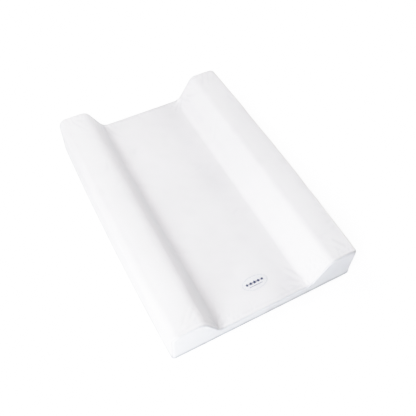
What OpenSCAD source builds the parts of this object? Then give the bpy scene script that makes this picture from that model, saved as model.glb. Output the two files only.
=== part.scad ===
// Contoured changing pad: a foam core with two raised bolsters and a lying
// trough, inside a sewn wipe-clean cover that closes with a zip underneath.
// Frame: X across the pad, +Y towards the head end, +Z up, origin at the
// bottom centre. All sizes are in millimetres.

/* [Pad] */
// Width across the two bolsters, at the ends of the pad
pad_w = 480; // [450:5:520]
// Length from the foot end to the head end
pad_l = 700; // [680:5:780]
// Height at the bolster tops
pad_h = 110; // [98:2:120]
// Height of the trough floor above the table
trough_h = 38; // [32:1:44]
// How far each filled side bows outwards at mid length
side_bow = 6; // [2:1:8]

/* [Bolsters] */
// Width of a bolster's flat top, between its two sharp corners
bolster_top_w = 80; // [70:1:84]
// Horizontal run of the slope from a bolster's top to the trough floor
slope_w = 42; // [38:1:50]
// Radius of the outer top edge
outer_r = 20; // [12:1:24]
// Radius of the inner top edge
inner_r = 28; // [20:1:36]
// Radius where the slope meets the trough floor
trough_r = 25; // [20:1:38]
// Radius of the bottom edge
base_r = 6; // [5:1:8]

/* [Cover] */
// Thickness of the coated cover fabric
cover_t = 1; // [0.8:0.1:1.2]
// Depth of the turned seam allowance inside the end panels
allowance_d = 9; // [6:1:12]
// Free gap between neighbouring sewn panels
seam_gap = 0.2; // [0.15:0.05:0.3]
// Radius of the seam thread
thread_r = 0.25; // [0.2:0.05:0.3]

/* [Label] */
// Length of the oval label, across the pad
label_w = 68; // [56:1:76]
// Height of the oval label, along the pad
label_h = 38; // [32:1:42]
// Distance of the label's centre from the foot end
label_from_foot = 67; // [55:1:90]
// Sideways offset of the label's centre
label_x = 7; // [-10:1:10]
// Thickness of the label
label_t = 0.8; // [0.6:0.1:1]
// Number of stitches round the label
label_stitches = 44; // [36:2:52]

/* [Zip] */
// Length of the zip chain between its stops
zip_l = 600; // [560:10:620]
// Spacing of the teeth along one side of the chain
tooth_pitch = 2.5; // [2.5:0.5:5]
// Depth of the zip pocket in the underside
pocket_d = 7; // [7:0.5:8]
// Width of the zip pocket
pocket_w = 48; // [44:1:56]
// Length of the zip pull, from its bar to its tip
pull_l = 24; // [20:1:30]

/* [Hidden] */

half_w = pad_w / 2;
half_l = pad_l / 2;
over = 1;                         // how far cutting shapes overshoot
rim_gap = cover_t + seam_gap;     // inset of the seam allowance
core_gap = rim_gap + cover_t + 1; // inset of the foam core
core_floor = trough_h - core_gap; // top of the flat foam slab
hem = 9;                          // how far the top sheet wraps under

// Zip levels above the table
teeth_z = 4.9;
teeth_t = 2.2;
tape_z = teeth_z + teeth_t + 0.1;
tape_t = 0.6;
ceiling_z = pocket_d - 1;         // under face of the pocket ceiling
plate_t = 1.2;                    // each slider plate
outer_plate_z = 3.4;              // under face of the outer plate
inner_plate_z = tape_z + tape_t + 0.3;
pocket_l = zip_l + 60;

// Colours shared by several nodes
bolster_color = [0.95, 0.91, 0.77];
end_color = [0.95, 0.95, 0.97];
base_color = [0.94, 0.94, 0.95];
seam_color = [0.90, 0.90, 0.92];
stitch_color = [0.86, 0.87, 0.90];
tape_color = [0.92, 0.92, 0.93];
teeth_color = [0.88, 0.88, 0.90];

// ---------- outlines ----------

corner_steps = 8;                 // segments in a rounded profile corner
min_corner_r = 0.4;
plan_steps = 12;                  // segments in half of a bowed side

function cross2(a, b) = a[0] * b[1] - a[1] * b[0];
function unit(v) = v / norm(v);
function left_of(v) = [-v[1], v[0]];
function span(half) = [-half, half];

// Sharp corner of a counter-clockwise outline, moved inwards by gap
function inset_corner(before, corner, after, gap) =
    let (dir_in = unit(corner - before),
         dir_out = unit(after - corner),
         on_in = corner + left_of(dir_in) * gap,
         on_out = corner + left_of(dir_out) * gap)
    on_in + dir_in * cross2(on_out - on_in, dir_out) / cross2(dir_in, dir_out);
function inset_pts(pts, gap) =
    let (count = len(pts))
    [for (i = [0 : count - 1])
        inset_corner(pts[(i + count - 1) % count], pts[i], pts[(i + 1) % count], gap)];

// One rounded corner; the radius shrinks inwards on a convex corner and
// grows on a concave one, so every inset stays parallel to the outline
function round_corner(before, corner, after, radius, gap) =
    let (dir_in = unit(corner - before),
         dir_out = unit(after - corner),
         convex = cross2(dir_in, dir_out) > 0,
         side = convex ? 1 : -1,
         inset_r = convex ? max(radius - gap, min_corner_r) : radius + gap,
         turn = acos(max(-1, min(1, dir_in * dir_out))),
         setback = inset_r * tan(turn / 2),
         centre = corner - dir_in * setback + left_of(dir_in) * inset_r * side,
         start = atan2(-dir_in[0] * side, dir_in[1] * side))
    [for (k = [0 : corner_steps])
        let (angle = start + side * turn * k / corner_steps)
        centre + inset_r * [cos(angle), sin(angle)]];
function round_pts(pts, radii, gap) =
    let (count = len(pts))
    [for (i = [0 : count - 1],
          point = round_corner(pts[(i + count - 1) % count], pts[i],
                               pts[(i + 1) % count], radii[i], gap)) point];

// Sharp corners [x, z] of the pad's cross-section, and the radius of each
side_x = half_w + side_bow;
top_inner_x = half_w - bolster_top_w;
floor_x = top_inner_x - slope_w;
profile_corners = [
    [-side_x, 0], [side_x, 0], [side_x, pad_h], [top_inner_x, pad_h],
    [floor_x, trough_h], [-floor_x, trough_h], [-top_inner_x, pad_h], [-side_x, pad_h]];
profile_radii = [base_r, base_r, outer_r, inner_r, trough_r, trough_r, inner_r, outer_r];

// The pad's cross-section, moved inwards by gap
function profile(gap) = round_pts(inset_pts(profile_corners, gap), profile_radii, gap);

// The pad's plan: straight ends and sides that bow outwards
function bowed(y) = half_w + side_bow * (1 - pow(y / half_l, 2));
function plan(gap) =
    [for (side = [1, -1]) for (i = [-plan_steps : plan_steps])
        side * [bowed(i * half_l / plan_steps) - gap, i * (half_l - gap) / plan_steps]];

// ---------- shared shapes ----------

// Extrudes a cross-section drawn in X and Z between two Y places
module along_y(y_a, y_b)
    translate([0, max(y_a, y_b), 0]) rotate([90, 0, 0])
        linear_extrude(abs(y_b - y_a)) children();

// Box between the two ends given for each axis
module slab(x, y, z)
    translate([x[0], y[0], z[0]])
        cube([x[1] - x[0], y[1] - y[0], z[1] - z[0]]);

// Children are drawn for the right side (+X); side = -1 mirrors them left
module on_side(side)
    mirror([side < 0 ? 1 : 0, 0, 0]) children();

// Straight thread along the pad, centred on Y = 0
module thread_y(x, z, radius, length)
    translate([x, -length / 2, z]) rotate([-90, 0, 0])
        cylinder(r = radius, h = length, $fn = 24);

// Upright prism taller than the pad
module through_pad()
    translate([0, 0, -over]) linear_extrude(pad_h + 2 * over) children();

// The filled form of the pad, moved inwards by gap on every face
module form(gap)
    intersection() {
        along_y(-half_l + gap, half_l - gap) polygon(profile(gap));
        through_pad() polygon(plan(gap));
    }

// ---------- foam ----------

pocket_clearance = 1.5;

module foam_base()
    color([0.96, 0.93, 0.80])
        difference() {
            intersection() {
                form(core_gap);
                slab(span(pad_w), span(half_l), [0, core_floor]);
            }
            // groove over the zip pocket and the slider
            slab(span(pocket_w / 2 + pocket_clearance),
                 span(pocket_l / 2 + pocket_clearance),
                 [-over, inner_plate_z + plate_t + pocket_clearance]);
        }

// The part of the core above the flat foam slab, on one side
module bolster_foam(side)
    color(bolster_color)
        intersection() {
            form(core_gap);
            on_side(side)
                slab([1, pad_w], span(half_l), [core_floor + 0.3, pad_h * 2]);
        }

module bolster_foam_left() bolster_foam(-1);
module bolster_foam_right() bolster_foam(1);

// ---------- cover panels ----------

slit_half_w = 8;                  // slit in the pocket ceiling
slit_past_zip = 10;               // slit beyond each end of the chain

module cover_top()
    color([0.97, 0.97, 0.98])
        difference() {
            intersection() {
                form(0);
                slab(span(pad_w), span(half_l - rim_gap), [-over, pad_h * 2]);
            }
            // hollow, with its plan stretched so that it runs out of both ends
            intersection() {
                along_y(-half_l - over, half_l + over) polygon(profile(cover_t));
                through_pad()
                    polygon([for (point = plan(cover_t))
                        [point[0], point[1] * (half_l + 2 * over) / (half_l - cover_t)]]);
            }
            // opening between the hems
            slab(span(half_w - hem), span(half_l), [-over, cover_t + over]);
        }

// The cross-section at the very ends of the pad, moved inwards by gap
module end_section(gap)
    intersection() {
        polygon(profile(gap));
        translate([-half_w + gap, -over]) square([pad_w - 2 * gap, pad_h + 2 * over]);
    }

// An end panel with its seam allowance turned inwards; side = 1 is the head
module end_panel(side)
    color(end_color) {
        inner_y = side * (half_l - cover_t);
        along_y(side * half_l, inner_y) end_section(0);
        along_y(inner_y, side * (half_l - cover_t - allowance_d)) difference() {
            end_section(rim_gap);
            end_section(rim_gap + cover_t);
        }
    }

module end_panel_foot() end_panel(-1);
module end_panel_head() end_panel(1);

// Space inside the right half of the zip pocket, up to z_top
module pocket_space(z_top)
    slab([-over, pocket_w / 2 - cover_t], span(pocket_l / 2 - cover_t), [-over, z_top]);

// One half of the underside, with its half of the zip pocket
module base_panel(side)
    color(base_color) on_side(side) {
        inner_x = seam_gap / 2;
        difference() {
            slab([inner_x, half_w - hem - seam_gap], span(half_l - rim_gap), [0, cover_t]);
            pocket_space(cover_t + over);
        }
        // pocket walls and ceiling
        difference() {
            slab([inner_x, pocket_w / 2], span(pocket_l / 2),
                 [cover_t, ceiling_z + cover_t]);
            pocket_space(ceiling_z);
            slab([-over, slit_half_w], span(zip_l / 2 + slit_past_zip),
                 [0, ceiling_z + cover_t + over]);
        }
    }

module base_panel_left() base_panel(-1);
module base_panel_right() base_panel(1);

// ---------- seam threads ----------

end_thread_inset = 4;             // from an end panel's inner face
base_thread_inset = 2;            // from a hem's edge towards the centre
base_thread_end = 14;             // from each end of the pad

// Thread line of a turned end seam, following the cross-section
module end_seam_thread(side) {
    y = side * (half_l - cover_t - end_thread_inset);
    gap = rim_gap + cover_t + 0.1;
    color(seam_color)
        intersection() {
            along_y(y - thread_r, y + thread_r) difference() {
                end_section(gap);
                end_section(gap + thread_r * 2);
            }
            slab(span(half_w), span(half_l), [base_r, pad_h]);
        }
}

// Thread line of a long bottom seam, beside the hem
module base_seam_thread(side)
    color(seam_color)
        thread_y(side * (half_w - hem - base_thread_inset), cover_t + 0.3 + thread_r,
                 thread_r, pad_l - 2 * base_thread_end);

module seam_thread_foot() end_seam_thread(-1);
module seam_thread_head() end_seam_thread(1);
module base_seam_thread_left() base_seam_thread(-1);
module base_seam_thread_right() base_seam_thread(1);

// ---------- label ----------

label_y = -half_l + label_from_foot;
label_z = trough_h + 0.05;
label_top = label_z + label_t;
stitch_inset = 2.2;               // from the label's edge
stitch_r = 0.25;
stitch_lift = 0.28;               // stitch axis above the label
stitch_fill = 0.68;               // stitch length as a share of its spacing
motif_t = 0.15;
star_pitch = 10;
star_y = 1;
dash_pitch = 2.6;
dash_y = -7;

function oval(half_x, half_y, count) =
    [for (i = [0 : count - 1])
        [half_x * cos(360 * i / count), half_y * sin(360 * i / count)]];
function star(tip_r, notch_r, points) =
    [for (i = [0 : 2 * points - 1])
        (i % 2 == 0 ? tip_r : notch_r) * [sin(180 * i / points), cos(180 * i / points)]];

module label_patch()
    color([0.93, 0.93, 0.95])
        translate([label_x, label_y, label_z])
            linear_extrude(label_t) polygon(oval(label_w / 2, label_h / 2, 72));

module label_stitching() {
    half_x = label_w / 2 - stitch_inset;
    half_y = label_h / 2 - stitch_inset;
    color(stitch_color)
        for (i = [0 : label_stitches - 1])
            let (angle = 360 * (i + 0.5) / label_stitches,
                 tangent = [-half_x * sin(angle), half_y * cos(angle)],
                 spacing = norm(tangent) * 2 * PI / label_stitches)
            translate([label_x + half_x * cos(angle), label_y + half_y * sin(angle),
                       label_top + stitch_lift])
                rotate([0, 0, atan2(tangent[1], tangent[0])]) rotate([0, 90, 0])
                    translate([0, 0, -spacing * stitch_fill / 2])
                        cylinder(r = stitch_r, h = spacing * stitch_fill, $fn = 16);
}

// A row of stars, smaller towards its ends, with dots between them and a
// row of dashes on the foot side
module label_motif()
    color([0.10, 0.14, 0.32])
        translate([label_x, label_y, label_top + 0.05])
            linear_extrude(motif_t) {
                for (i = [-2 : 2])
                    translate([i * star_pitch, star_y])
                        polygon(star(4.4 - abs(i) * 0.5, 2.1 - abs(i) * 0.25, 5));
                for (i = [-2 : 1])
                    translate([(i + 0.5) * star_pitch, star_y]) circle(r = 0.7, $fn = 24);
                for (i = [-6 : 6])
                    translate([i * dash_pitch, dash_y]) square([1.5, 0.7], center = true);
            }

// ---------- zip tapes, teeth and topstitching ----------

tape_edge = 0.6;                  // half of the gap in the chain
tape_outer_x = 14;
tape_past_zip = 14;               // tape beyond each end of the chain
tooth_w = 2.6;                    // from a tooth's tip to the cord's back
teeth_inset = 5;                  // first tooth from the foot end of the chain
teeth_spare = 9;                  // least length of chain without teeth
topstitch_x = 11;

// One tooth: [distance out from the tip line, share of the pitch]
tooth_outline = [[1.15, 0.9], [0, 0.8], [0, 0.2], [1.15, 0.1]];

module tape(side)
    color(tape_color) on_side(side)
        slab([tape_edge, tape_outer_x], span(zip_l / 2 + tape_past_zip),
             [tape_z, tape_z + tape_t]);

// One side of the tooth chain: a cord edge with evenly spaced teeth
module teeth(side) {
    count = floor((zip_l - teeth_spare) / tooth_pitch);
    start_y = -zip_l / 2 + teeth_inset;
    back_x = tape_edge + tooth_w;
    color(teeth_color)
        translate([0, 0, teeth_z]) linear_extrude(teeth_t)
            on_side(side)
                polygon(concat(
                    [[back_x, start_y], [back_x, start_y + count * tooth_pitch]],
                    [for (i = [count - 1 : -1 : 0]) for (point = tooth_outline)
                        [tape_edge + point[0], start_y + (i + point[1]) * tooth_pitch]]));
}

module topstitch(side)
    color(stitch_color)
        thread_y(side * topstitch_x, ceiling_z - thread_r, thread_r - 0.02, zip_l);

module zip_tape_left() tape(-1);
module zip_tape_right() tape(1);
module zip_teeth_left() teeth(-1);
module zip_teeth_right() teeth(1);
module zip_topstitch_left() topstitch(-1);
module zip_topstitch_right() topstitch(1);

// ---------- zip stops ----------

stop_z = [teeth_z - 0.6, tape_z + tape_t + 0.9];
tape_clearance = 0.1;
top_stop_y = zip_l / 2 - 0.2;
bottom_stop_y = -zip_l / 2 + 1.5;

// Cutter for the right tape where it passes through a stop
module tape_slot(outer_x, y)
    slab([tape_edge - tape_clearance, outer_x], y,
         [tape_z - tape_clearance, tape_z + tape_t + tape_clearance]);

// A small clamp folded round the inner edge of each tape
module zip_top_stops()
    color("silver")
        for (side = [1, -1])
            on_side(side) difference() {
                slab([0.1, tape_edge + tooth_w + 1],
                     [top_stop_y - 1.6, top_stop_y + 1.6], stop_z);
                tape_slot(tape_edge + tooth_w + 3, [top_stop_y - 3, top_stop_y + 3]);
            }

// Bridges both tapes at the foot end of the chain
module zip_bottom_stop()
    color("silver")
        translate([0, bottom_stop_y, 0]) difference() {
            slab(span(4.4), span(2), stop_z);
            for (side = [1, -1])
                on_side(side) tape_slot(6, span(4));
        }

// ---------- zip slider and pull ----------

slider_w = 11;
slider_l = 13;
slider_y = zip_l / 2 - 9;         // slider's centre when closed
flange_t = 1.2;
joint_sink = 0.2;                 // how far web and bail sink into the outer plate
bar_z = 2.5;                      // pull bar's axis
bar_r = 0.7;
bar_l = 4.4;
bail_half_w = 1;
bail_t = 1;                       // bail's bridge
bail_leg_t = 1.1;
bail_inner_y = 1.5;               // inner face of a bail leg
bail_inner_z = bar_z - 0.9;       // upper face of the bridge
pull_t = 1.1;
arm_x = [1.3, 2.5];               // right arm's inner and outer face
tab_r = 3.6;                      // half width and tip radius of the tab
tab_neck_y = -3.5;                // where the tab starts to widen
tab_full_y = -8;                  // where it reaches full width
tab_tip_y = -pull_l + tab_r;      // centre of the rounded tip

// Slider plate: a rectangle with rounded corners
module slider_plate(z) {
    corner_r = slider_w / 4;
    translate([0, 0, z]) linear_extrude(plate_t) {
        translate([-slider_w / 2, -slider_l / 2 + corner_r])
            square([slider_w, slider_l - slider_w / 2]);
        for (y = [-slider_l / 2, slider_l / 2 - slider_w / 2])
            translate([-corner_r, y]) square([slider_w / 2, slider_w / 2]);
        for (x = span(corner_r), y = span(slider_l / 2 - corner_r))
            translate([x, y]) circle(r = corner_r, $fn = 32);
    }
}

module zip_slider()
    color("silver")
        translate([0, slider_y, 0]) {
            slider_plate(outer_plate_z);
            slider_plate(inner_plate_z);
            // guide flanges on the outer plate
            for (side = [-1, 1])
                on_side(side)
                    slab([slider_w / 2 - flange_t, slider_w / 2],
                         span(slider_l / 2 - 3), [outer_plate_z, tape_z - 0.3]);
            // web that joins the plates between the two rows of teeth
            slab(span(0.4), [0.5, slider_l / 2 - 1],
                 [outer_plate_z + joint_sink, inner_plate_z + plate_t / 2]);
            // bail: two legs and a bridge that hold the pull's bar
            for (y = [-bail_inner_y - bail_leg_t, bail_inner_y])
                slab(span(bail_half_w), [y, y + bail_leg_t],
                     [bail_inner_z - bail_t, outer_plate_z + joint_sink]);
            slab(span(bail_half_w), span(bail_inner_y + bail_leg_t),
                 [bail_inner_z - bail_t, bail_inner_z]);
        }

// Round bar inside the bail, two arms beside it and a tab with a hole
module zip_pull()
    color("silver")
        translate([0, slider_y, bar_z]) {
            translate([-bar_l / 2, 0, 0]) rotate([0, 90, 0])
                cylinder(r = bar_r, h = bar_l, $fn = 32);
            for (side = [-1, 1])
                on_side(side) slab(arm_x, [-4, 0], span(pull_t / 2));
            translate([0, 0, -pull_t / 2]) linear_extrude(pull_t) difference() {
                union() {
                    polygon([[-arm_x[1], tab_neck_y], [-tab_r, tab_full_y],
                             [-tab_r, tab_tip_y], [tab_r, tab_tip_y],
                             [tab_r, tab_full_y], [arm_x[1], tab_neck_y]]);
                    translate([0, tab_tip_y]) circle(r = tab_r, $fn = 48);
                }
                translate([0, tab_tip_y + 1]) circle(r = 1.5, $fn = 32);
            }
        }

foam_base();
bolster_foam_left();
bolster_foam_right();
cover_top();
end_panel_foot();
end_panel_head();
base_panel_left();
base_panel_right();
seam_thread_foot();
seam_thread_head();
base_seam_thread_left();
base_seam_thread_right();
label_patch();
label_stitching();
label_motif();
zip_tape_left();
zip_tape_right();
zip_teeth_left();
zip_teeth_right();
zip_topstitch_left();
zip_topstitch_right();
zip_top_stops();
zip_bottom_stop();
zip_slider();
zip_pull();
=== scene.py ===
"""A foam pad in a white vinyl cover, with a bolster along each side and a trough between them.

It lies on the table at z = 0, centred on x = y = 0: x runs across it, y along it, the foot end
is at -y and the head end at +y. The zip runs along the middle of the underside. Metres, z up.
"""
import math
import bmesh
import bpy
import numpy as np
from mathutils import Matrix, Vector
from mathutils.bvhtree import BVHTree


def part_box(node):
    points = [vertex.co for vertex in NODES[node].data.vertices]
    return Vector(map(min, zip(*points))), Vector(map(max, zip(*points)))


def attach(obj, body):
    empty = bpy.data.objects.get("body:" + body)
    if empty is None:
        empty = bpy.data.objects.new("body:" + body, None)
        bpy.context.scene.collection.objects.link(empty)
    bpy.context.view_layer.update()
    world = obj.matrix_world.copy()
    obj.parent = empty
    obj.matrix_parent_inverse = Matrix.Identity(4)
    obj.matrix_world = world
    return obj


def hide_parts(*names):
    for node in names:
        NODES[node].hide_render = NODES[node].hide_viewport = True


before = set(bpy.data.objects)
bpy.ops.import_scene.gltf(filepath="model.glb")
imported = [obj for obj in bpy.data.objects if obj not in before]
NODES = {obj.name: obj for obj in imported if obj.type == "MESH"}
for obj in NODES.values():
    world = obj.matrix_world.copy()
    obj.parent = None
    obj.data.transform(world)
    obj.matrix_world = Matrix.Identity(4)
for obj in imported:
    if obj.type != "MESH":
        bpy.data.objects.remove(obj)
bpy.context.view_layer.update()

# ---------------------------------------------------------------- driving sizes
_, cover_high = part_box("cover_top")
end_low, end_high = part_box("end_panel_foot")
label_low, label_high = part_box("label_patch")
_, base_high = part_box("base_panel_right")
HALF_WIDTH = end_high.x                     # at the ends
HALF_LENGTH = -end_low.y
PAD_HEIGHT = cover_high.z                   # at the bolster tops
TROUGH_HEIGHT = label_low.z - 0.00005
SIDE_BOW = cover_high.x - HALF_WIDTH        # how far the filled sides bow out
HEM = HALF_WIDTH - base_high.x              # how far the top sheet wraps under
BOLSTER_TOP, SLOPE_RUN = 0.080, 0.042       # widths of the bolster's flat top and its slope
# radii where the wall meets the hem and the top, and where the slope meets the top and the floor
CORNER_RADII = [0.0085, 0.020, 0.028, 0.025]
SHEET = 0.001                               # cover thickness


# ---------------------------------------------------------------- small helpers
def smoothstep(value):
    value = np.clip(value, 0.0, 1.0)
    return value * value * (3 - 2 * value)


def bell(offset, width):
    return np.exp(-(offset / width) ** 2)


def run_length(points):
    """Length along a polyline at each of its points."""
    return np.r_[0, np.cumsum(np.linalg.norm(np.diff(points, axis=0), axis=1))]


def waves(x, y, scale, seed, count=14):
    """Seeded noise in about -1..1, from plane waves of random direction near one wavelength."""
    rng = np.random.default_rng(seed)
    total = np.zeros(np.broadcast(x, y).shape)
    for _ in range(count):
        heading = rng.uniform(0, 2 * math.pi)
        frequency = 2 * math.pi / (scale * rng.uniform(0.6, 1.7))
        strength = rng.uniform(0.5, 1.0)
        phase = rng.uniform(0, 2 * math.pi)
        travel = x * math.cos(heading) + y * math.sin(heading)
        total = total + strength * np.sin(frequency * travel + phase)
    return total / (0.75 * math.sqrt(count) * 1.2)


def box_blur(field, column_reach, row_reach):
    """Separable running mean with edge clamping."""
    for axis, reach in ((0, column_reach), (1, row_reach)):
        pad = [(0, 0), (0, 0)]
        pad[axis] = (reach + 1, reach)
        total = np.cumsum(np.pad(field, pad, mode="edge"), axis=axis)
        places = np.arange(field.shape[axis])
        high = np.take(total, places + 2 * reach + 1, axis=axis)
        field = (high - np.take(total, places, axis=axis)) / (2 * reach + 1)
    return field


def new_object(name, verts, faces, material=None, smooth=True):
    mesh = bpy.data.meshes.new(name)
    mesh.from_pydata([tuple(v) for v in verts], [], faces)
    mesh.update()
    if smooth:
        mesh.polygons.foreach_set("use_smooth", [True] * len(mesh.polygons))
    obj = bpy.data.objects.new(name, mesh)
    bpy.context.scene.collection.objects.link(obj)
    if material is not None:
        mesh.materials.append(material)
    return obj


def register(obj, node):
    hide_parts(node)
    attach(obj, "pad")


def grid_faces(columns, rows, offset=0):
    i, j = np.meshgrid(np.arange(columns - 1), np.arange(rows - 1), indexing="ij")
    first = (i * rows + j).ravel() + offset
    return np.stack([first, first + rows, first + rows + 1, first + 1], axis=1).tolist()


def grid_normals(points):
    normals = np.cross(np.gradient(points, axis=0), np.gradient(points, axis=1))
    return normals / np.maximum(np.linalg.norm(normals, axis=2, keepdims=True), 1e-12)


def mesh_arrays(obj):
    """Vertex positions and normals."""
    arrays = []
    for name in ("co", "normal"):
        values = np.empty(len(obj.data.vertices) * 3)
        obj.data.vertices.foreach_get(name, values)
        arrays.append(values.reshape(-1, 3))
    return arrays


def set_points(obj, points):
    obj.data.vertices.foreach_set("co", points.ravel())
    obj.data.update()


def set_crease_shade(obj, values):
    """Store how creased each point is; the vinyl's colour darkens with it as painted shade in the
    creases and seam grooves.
    """
    attribute = obj.data.attributes.new("crease", "FLOAT", "POINT")
    attribute.data.foreach_set("value", np.asarray(values, np.float32).ravel())


def edit_mesh(obj, operation):
    work = bmesh.new()
    work.from_mesh(obj.data)
    operation(work)
    work.to_mesh(obj.data)
    work.free()
    obj.data.update()


def recalculate_normals(work):
    bmesh.ops.recalc_face_normals(work, faces=work.faces)


def apply_modifier(obj, name, kind, **settings):
    modifier = obj.modifiers.new(name, kind)
    for key, value in settings.items():
        setattr(modifier, key, value)
    bpy.ops.object.select_all(action="DESELECT")
    obj.select_set(True)
    bpy.context.view_layer.objects.active = obj
    bpy.ops.object.modifier_apply(modifier=modifier.name)


def thicken(obj, thickness):
    apply_modifier(obj, "sheet", "SOLIDIFY", thickness=thickness, offset=-1.0,
                   use_even_offset=False)


# ---------------------------------------------------------------- materials
def scaled(colour, factor):
    """The colour times one factor, or times one factor per channel."""
    return tuple(np.multiply(colour, factor))


class Shader:
    """A material with its Principled shader and short ways to add nodes to it."""

    def __init__(self, name):
        self.material = bpy.data.materials.new(name)
        self.material.use_nodes = True
        self.tree = self.material.node_tree
        self.tree.nodes.clear()
        self.output = self.node("OutputMaterial")
        self.principled = self.node("BsdfPrincipled")
        self.feed(self.output, {0: self.principled.outputs[0]})

    def feed(self, node, inputs):
        """Link or set inputs by name or index."""
        for key, value in inputs.items():
            if isinstance(value, bpy.types.NodeSocket):
                self.tree.links.new(value, node.inputs[key])
            else:
                node.inputs[key].default_value = value

    def node(self, kind, inputs=None, **settings):
        node = self.tree.nodes.new("ShaderNode" + kind)
        for key, value in settings.items():
            setattr(node, key, value)
        self.feed(node, inputs or {})
        return node

    def surface(self, inputs):
        self.feed(self.principled, inputs)

    def object_place(self):
        return self.node("TexCoord").outputs["Object"]

    def mapping(self, place, **inputs):
        return self.node("Mapping", {"Vector": place, **inputs}).outputs[0]

    def noise(self, place, scale, detail=2.0, roughness=0.5, output="Fac"):
        return self.node("TexNoise", {"Vector": place, "Scale": scale, "Detail": detail,
                                      "Roughness": roughness}).outputs[output]

    def wave(self, place, scale, direction, distortion=0.0):
        return self.node("TexWave", {"Vector": place, "Scale": scale, "Distortion": distortion},
                         bands_direction=direction).outputs["Fac"]

    def cells(self, place, scale, feature="F1"):
        return self.node("TexVoronoi", {"Vector": place, "Scale": scale},
                         feature=feature).outputs["Distance"]

    def remap(self, value, to=(0.0, 1.0), source=(0.0, 1.0), curve="LINEAR"):
        return self.node("MapRange", {"Value": value, "From Min": source[0],
                                      "From Max": source[1], "To Min": to[0], "To Max": to[1]},
                         interpolation_type=curve).outputs[0]

    def mix(self, factor, first, second):
        colours = [(*c, 1) if isinstance(c, tuple) else c for c in (first, second)]
        return self.node("Mix", {0: factor, 6: colours[0], 7: colours[1]},
                         data_type="RGBA").outputs[2]

    def math(self, operation, *values, clamp=False):
        return self.node("Math", dict(enumerate(values)), operation=operation,
                         use_clamp=clamp).outputs[0]

    def bump(self, height, strength, distance, **normal):
        return self.node("Bump", {"Height": height, "Strength": strength, "Distance": distance,
                                  **normal}).outputs[0]


def vinyl(name, tint, grain=1.0, roughness=0.43, contact_shade_below=0.030):
    """Satin coated fabric: leather grain, faint tone drift, painted shade along creases and
    seams, and painted contact shade near the table.
    """
    shader = Shader(name)
    place = shader.object_place()

    drift = shader.noise(place, scale=7.0, detail=3.0, roughness=0.55)
    tone = shader.node("ValToRGB", {0: drift})
    stops = ((0.35, scaled(tint, 0.965)), (0.68, tint))
    for element, (position, colour) in zip(tone.color_ramp.elements, stops):
        element.position = position
        element.color = (*colour, 1)
    # painted shade: the crease attribute darkens the colour towards 0.80 of the tint
    crease = shader.node("Attribute", attribute_name="crease").outputs["Fac"]
    crease_shaded = shader.mix(crease, tone.outputs[0], scaled(tint, (0.80, 0.80, 0.81)))

    # painted contact shade: over the lowest centimetres the colour darkens towards the table,
    # broken up by noise
    height = shader.node("SeparateXYZ", {0: place}).outputs[2]
    low = shader.remap(height, to=(1.0, 0.0), source=(min(0.0, 2 * contact_shade_below), contact_shade_below),
                       curve="SMOOTHSTEP")
    contact_shade_mottle_noise = shader.noise(place, scale=34.0, detail=4.0, roughness=0.65)
    contact_shade_mottle = shader.remap(contact_shade_mottle_noise, to=(0.6, 0.95), source=(0.3, 0.7))
    scuff_and_contact_shade = shader.math("MULTIPLY", low, contact_shade_mottle)
    # painted contact shade: near the table the colour is mixed towards 0.42 of the tint
    colour = shader.mix(scuff_and_contact_shade, crease_shaded, scaled(tint, (0.42, 0.42, 0.425)))
    gloss = shader.noise(place, scale=26.0, detail=3.0, roughness=0.6)

    # leather grain: rounded cells warped by noise, over a softer pebble
    warp = shader.noise(place, scale=420.0, output="Color")
    warped = shader.node("VectorMath", {0: warp, 1: (0.0011, 0.0011, 0.0011), 2: place},
                         operation="MULTIPLY_ADD").outputs[0]
    cells = shader.remap(shader.cells(warped, scale=620.0, feature="DISTANCE_TO_EDGE"),
                         source=(0.0, 0.28), curve="SMOOTHSTEP")
    fine = shader.noise(place, scale=1500.0)
    leather = shader.bump(shader.math("MULTIPLY_ADD", fine, 0.35, cells),
                          strength=0.22 * grain, distance=0.00012)
    pebble = shader.noise(place, scale=60.0, detail=3.0)
    shader.surface({
        "Base Color": colour,
        "Roughness": shader.remap(gloss, to=(roughness - 0.07, roughness + 0.09)),
        "Specular IOR Level": 0.32,
        "Coat Weight": 0.06,
        "Coat Roughness": 0.30,
        "Normal": shader.bump(pebble, strength=0.25, distance=0.0006, Normal=leather)})
    return shader.material


def zip_tape(name, tint, dark):
    """Twill cloth: slanting and straight yarns, slubs and a soft sheen."""
    shader = Shader(name)
    place = shader.object_place()
    slanted = shader.mapping(place, Rotation=(0, 0, math.radians(38)))
    weave = shader.math("MULTIPLY", shader.wave(slanted, scale=420.0, direction="X"),
                        shader.wave(place, scale=420.0, direction="Y"))
    slub = shader.noise(place, scale=90.0, detail=3.0, roughness=0.6)
    cloth = shader.math("MULTIPLY_ADD", slub, 0.5, weave)
    shader.surface({
        "Base Color": shader.mix(shader.remap(cloth, source=(0.15, 0.95)), dark, tint),
        "Roughness": shader.remap(slub, to=(0.52, 0.70)),
        "Sheen Weight": 0.2,
        "Sheen Roughness": 0.4,
        "Normal": shader.bump(cloth, strength=0.5, distance=0.00012)})
    return shader.material


def satin(name, tint, dark):
    """Satin label cloth: long floating yarns one way, fine ribs the other."""
    shader = Shader(name)
    place = shader.object_place()
    rib = shader.wave(place, scale=900.0, direction="Y", distortion=0.4)
    yarn = shader.wave(place, scale=330.0, direction="X", distortion=1.2)
    slub = shader.noise(place, scale=160.0, detail=3.0, roughness=0.6)
    cloth = shader.math("ADD", shader.math("MULTIPLY", rib, 0.5),
                        shader.math("MULTIPLY", yarn, 0.6))
    bright = shader.remap(shader.math("MULTIPLY", cloth, slub), source=(0.0, 0.6))
    shader.surface({
        "Base Color": shader.mix(bright, dark, tint),
        "Roughness": shader.remap(slub, to=(0.30, 0.48)),
        "Anisotropic": 0.35,
        "Sheen Weight": 0.25,
        "Normal": shader.bump(cloth, strength=0.35, distance=0.0001)})
    return shader.material


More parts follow.
